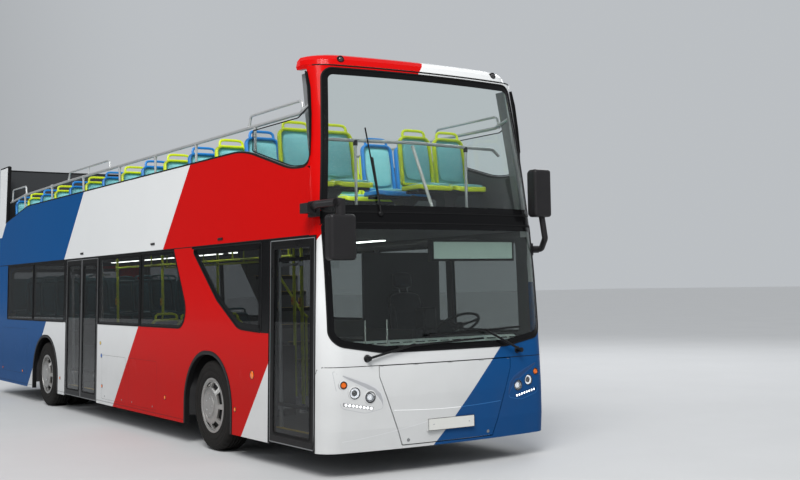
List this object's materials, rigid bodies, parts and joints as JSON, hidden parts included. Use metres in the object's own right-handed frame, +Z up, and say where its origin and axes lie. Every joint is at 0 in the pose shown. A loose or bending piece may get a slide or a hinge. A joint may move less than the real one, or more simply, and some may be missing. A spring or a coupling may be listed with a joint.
{
  "type": "open-top double-decker sightseeing bus",
  "caption": "Open-top double-decker bus with plug doors, a low floor, stairs to the upper deck, a raised rear hood, a steered front axle and twin rear wheels.",
  "frame": {"origin": "on the ground under the middle of the bounding box", "axes": "+X forward, +Y to the left side of the bus, +Z up"},
  "size_m": [11.86, 2.69, 3.8179],
  "materials": {
    "body_paint": "smooth gloss coach paint",
    "roof_paint": "smooth gloss coach paint",
    "frame_black": "gloss black",
    "chassis_black": "satin black under-body paint",
    "floor_grey": "fine-grained non-slip sheet",
    "housing_black": "rough under-body coating",
    "clear_glass": "clear laminated glass",
    "dark_glass": "tinted bonded glass",
    "dash_plastic": "fine leather grain",
    "cab_fabric": "woven seat cloth",
    "panel_grey": "fine texture laminate",
    "seat_frame": "satin powder coat",
    "seat_shell": "moulded shell with fine grain",
    "rail_metal": "fine brushed tube",
    "lamp_lens": "clear moulded lens",
    "tail_lens": "red moulded lens",
    "mirror_black": "smooth moulded shell",
    "wiper_black": "satin black",
    "display_black": "smooth dark window",
    "engine_grey": "rough casting",
    "axle_grey": "painted casting",
    "tyre_rubber": "moulded rubber",
    "wheel_silver": "satin",
    "door_black": "gloss black frame with tinted pane"
  },
  "bodies": {
    "body": {"chassis_rails": "chassis_black", "cross_members": "chassis_black", "towing_eyes": "chassis_black", "lower_floor": "floor_grey", "wheel_housings": "housing_black", "right_side_wall": "body_paint", "left_side_wall": "body_paint", "right_upper_panel": "body_paint", "left_upper_panel": "body_paint", "front_panel": "body_paint", "front_frame": "frame_black", "front_roof": "roof_paint", "windscreens": "clear_glass", "rear_wall": "body_paint", "rear_hood": "body_paint", "upper_floor": "floor_grey", "window_glass": "dark_glass", "dashboard": "dash_plastic", "driver_seat": "cab_fabric", "cab_partition": "panel_grey", "seat_pans": "seat_shell", "seat_pedestals": "seat_frame", "seat_backs": "seat_shell", "staircase": "panel_grey", "hand_rails": "rail_metal", "rail_posts": "rail_metal", "headlamps": "lamp_lens", "tail_lamps": "tail_lens", "mirrors": "mirror_black", "wipers": "wiper_black", "destination_display": "display_black", "engine_block": "engine_grey", "front_axle": "axle_grey", "rear_axle": "axle_grey"},
    "right_knuckle": {"right_knuckle": "axle_grey"},
    "left_knuckle": {"left_knuckle": "axle_grey"},
    "front_right_wheel": {"front_right_tyre": "tyre_rubber", "front_right_rim": "wheel_silver"},
    "front_left_wheel": {"front_left_tyre": "tyre_rubber", "front_left_rim": "wheel_silver"},
    "rear_right_wheels": {"rear_right_tyres": "tyre_rubber", "rear_right_rims": "wheel_silver"},
    "rear_left_wheels": {"rear_left_tyres": "tyre_rubber", "rear_left_rims": "wheel_silver"},
    "steering_wheel": {"steering_wheel": "dash_plastic"},
    "front_flap": {"front_flap": "body_paint"},
    "engine_cover": {"engine_cover": "body_paint"},
    "front_door_post": {"front_door_post": "rail_metal"},
    "front_door": {"front_door": "door_black"},
    "middle_door_front_leaf_post": {"middle_door_front_leaf_post": "rail_metal"},
    "middle_door_front_leaf": {"middle_door_front_leaf": "door_black"},
    "middle_door_rear_leaf_post": {"middle_door_rear_leaf_post": "rail_metal"},
    "middle_door_rear_leaf": {"middle_door_rear_leaf": "door_black"}
  },
  "joints": [
    {"name": "right_steer", "type": "hinge", "parent": "body", "child": "right_knuckle", "pos_m": [3.19, -0.895, 0.47], "axis": [0, 0, 1], "range_deg": [-42, 42]},
    {"name": "left_steer", "type": "hinge", "parent": "body", "child": "left_knuckle", "pos_m": [3.19, 0.895, 0.47], "axis": [0, 0, 1], "range_deg": [-42, 42]},
    {"name": "steering_wheel_turn", "type": "hinge", "parent": "body", "child": "steering_wheel", "pos_m": [5, 0.64, 1.275], "axis": [-0.5299, 0, 0.848], "range_deg": [-675, 675]},
    {"name": "front_right_spin", "type": "hinge", "parent": "right_knuckle", "child": "front_right_wheel", "pos_m": [3.19, -1.1, 0.47], "axis": [0, 1, 0], "continuous": true},
    {"name": "front_left_spin", "type": "hinge", "parent": "left_knuckle", "child": "front_left_wheel", "pos_m": [3.19, 1.1, 0.47], "axis": [0, 1, 0], "continuous": true},
    {"name": "rear_right_spin", "type": "hinge", "parent": "body", "child": "rear_right_wheels", "pos_m": [-2.78, -0.9475, 0.47], "axis": [0, 1, 0], "continuous": true},
    {"name": "rear_left_spin", "type": "hinge", "parent": "body", "child": "rear_left_wheels", "pos_m": [-2.78, 0.9475, 0.47], "axis": [0, 1, 0], "continuous": true},
    {"name": "front_flap_hinge", "type": "hinge", "parent": "body", "child": "front_flap", "pos_m": [5.738, 0, 0.982], "axis": [0, -1, 0], "range_deg": [0, 70]},
    {"name": "engine_cover_hinge", "type": "hinge", "parent": "body", "child": "engine_cover", "pos_m": [-5.921, 0, 1.2], "axis": [0, 1, 0], "range_deg": [0, 80]},
    {"name": "front_door_post_turn", "type": "hinge", "parent": "body", "child": "front_door_post", "pos_m": [4.63, -1.16, 1.2], "axis": [0, 0, -1], "range_deg": [0, 150]},
    {"name": "front_door_leaf_turn", "type": "hinge", "parent": "front_door_post", "child": "front_door", "pos_m": [5.05, -1.16, 1.2], "axis": [0, 0, -1], "range_deg": [-150, 0]},
    {"name": "middle_front_post_turn", "type": "hinge", "parent": "body", "child": "middle_door_front_leaf_post", "pos_m": [-0.488, -1.16, 1.2], "axis": [0, 0, 1], "range_deg": [0, 150]},
    {"name": "middle_front_leaf_turn", "type": "hinge", "parent": "middle_door_front_leaf_post", "child": "middle_door_front_leaf", "pos_m": [-0.798, -1.16, 1.2], "axis": [0, 0, 1], "range_deg": [-150, 0]},
    {"name": "middle_rear_post_turn", "type": "hinge", "parent": "body", "child": "middle_door_rear_leaf_post", "pos_m": [-1.736, -1.16, 1.2], "axis": [0, 0, -1], "range_deg": [0, 150]},
    {"name": "middle_rear_leaf_turn", "type": "hinge", "parent": "middle_door_rear_leaf_post", "child": "middle_door_rear_leaf", "pos_m": [-1.426, -1.16, 1.2], "axis": [0, 0, -1], "range_deg": [-150, 0]}
  ],
  "couplings": [
    {"joint": "left_steer", "follows": "right_steer", "ratio": 1},
    {"joint": "steering_wheel_turn", "follows": "right_steer", "ratio": 16},
    {"joint": "front_door_leaf_turn", "follows": "front_door_post_turn", "ratio": -1},
    {"joint": "middle_front_leaf_turn", "follows": "middle_front_post_turn", "ratio": -1},
    {"joint": "middle_rear_leaf_turn", "follows": "middle_rear_post_turn", "ratio": -1}
  ]
}
